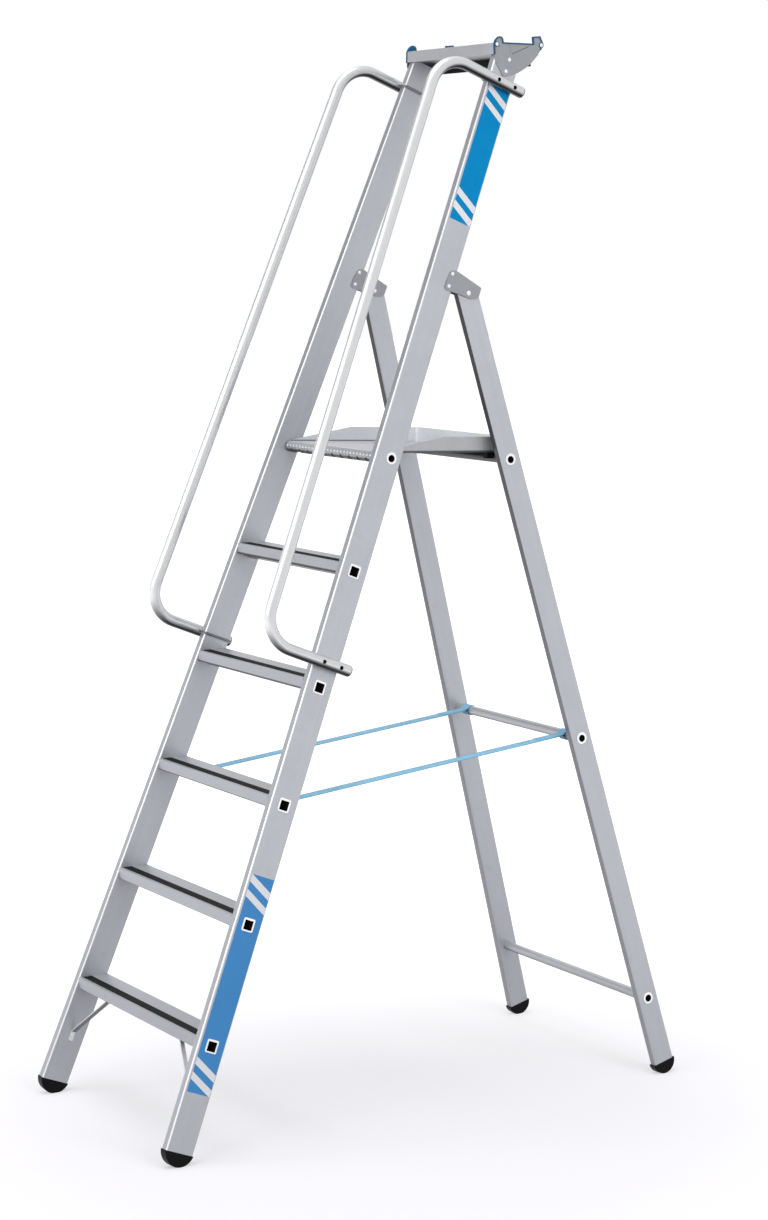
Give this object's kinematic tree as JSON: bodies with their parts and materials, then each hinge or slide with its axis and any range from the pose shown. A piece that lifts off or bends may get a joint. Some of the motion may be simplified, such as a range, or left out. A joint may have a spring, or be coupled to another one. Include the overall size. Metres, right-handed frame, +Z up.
{
  "type": "platform stepladder",
  "caption": "Free-standing folding platform stepladder in aluminium with ribbed treads, a fold-up standing platform, side handrails, webbing spreaders and a tool tray at the top.",
  "frame": {"origin": "on the floor, in the middle of the ladder's footprint box", "axes": "+Z up, +Y the way the climber faces, from the steps towards the rear legs, +X to the climber's right"},
  "size_m": [0.6058, 1.2731, 2.2843],
  "materials": {
    "aluminium": "extruded mill finish, satin",
    "rail_tube": "drawn tube, bright satin",
    "grey_sheet": "zinc-plated pressed sheet, satin",
    "bright_steel": "plated rivets, pins and rod",
    "foot_rubber": "moulded, matt",
    "black_plastic": "moulded, matt",
    "grey_plastic": "moulded, matt",
    "blue_plastic": "moulded edge trim",
    "webbing": "woven webbing"
  },
  "bodies": {
    "front_frame": {"stile_left": "aluminium", "stile_right": "aluminium", "step_1": "aluminium", "step_2": "aluminium", "step_3": "aluminium", "step_4": "aluminium", "step_5": "aluminium", "grip_1": "black_plastic", "grip_2": "black_plastic", "grip_3": "black_plastic", "grip_4": "black_plastic", "grip_5": "black_plastic", "brace_left": "aluminium", "brace_right": "aluminium", "brace_rivets": "bright_steel", "platform_tube": "aluminium", "front_foot_left": "foot_rubber", "front_foot_right": "foot_rubber", "hinge_outer_left": "grey_sheet", "hinge_inner_left": "grey_sheet", "hinge_outer_right": "grey_sheet", "hinge_inner_right": "grey_sheet", "hinge_rivets": "bright_steel", "pivot_pin_left": "bright_steel", "pivot_pin_right": "bright_steel", "tray_pan": "aluminium", "tray_side_left": "grey_sheet", "tray_side_right": "grey_sheet", "tray_trim_left": "blue_plastic", "tray_trim_right": "blue_plastic", "tray_rivets": "bright_steel", "handrail_left": "rail_tube", "handrail_right": "rail_tube", "rail_plugs": "grey_plastic", "rail_clamps": "bright_steel", "rail_screws": "bright_steel", "strap_left": "webbing", "strap_right": "webbing", "strap_rivets": "bright_steel"},
    "rear_frame": {"leg_left": "aluminium", "leg_right": "aluminium", "rear_tube_top": "aluminium", "rear_tube_mid": "aluminium", "rear_tube_low": "aluminium", "rear_foot_left": "foot_rubber", "rear_foot_right": "foot_rubber"},
    "platform": {"platform_deck": "aluminium", "platform_hook_left": "black_plastic", "platform_hook_right": "black_plastic", "hook_rivets": "bright_steel"}
  },
  "joints": [
    {"name": "rear_fold", "type": "hinge", "parent": "front_frame", "child": "rear_frame", "pos_m": [0, 0.14522, 1.73209], "axis": [-1, 0, 0], "range_deg": [0, 36], "deforming": ["strap_left", "strap_right"]},
    {"name": "platform_fold", "type": "hinge", "parent": "front_frame", "child": "platform", "pos_m": [0, -0.06031, 1.39012], "axis": [1, 0, 0], "range_deg": [0, 70]}
  ],
  "couplings": [
    {"joint": "platform_fold", "follows": "rear_fold", "ratio": 1.92}
  ]
}
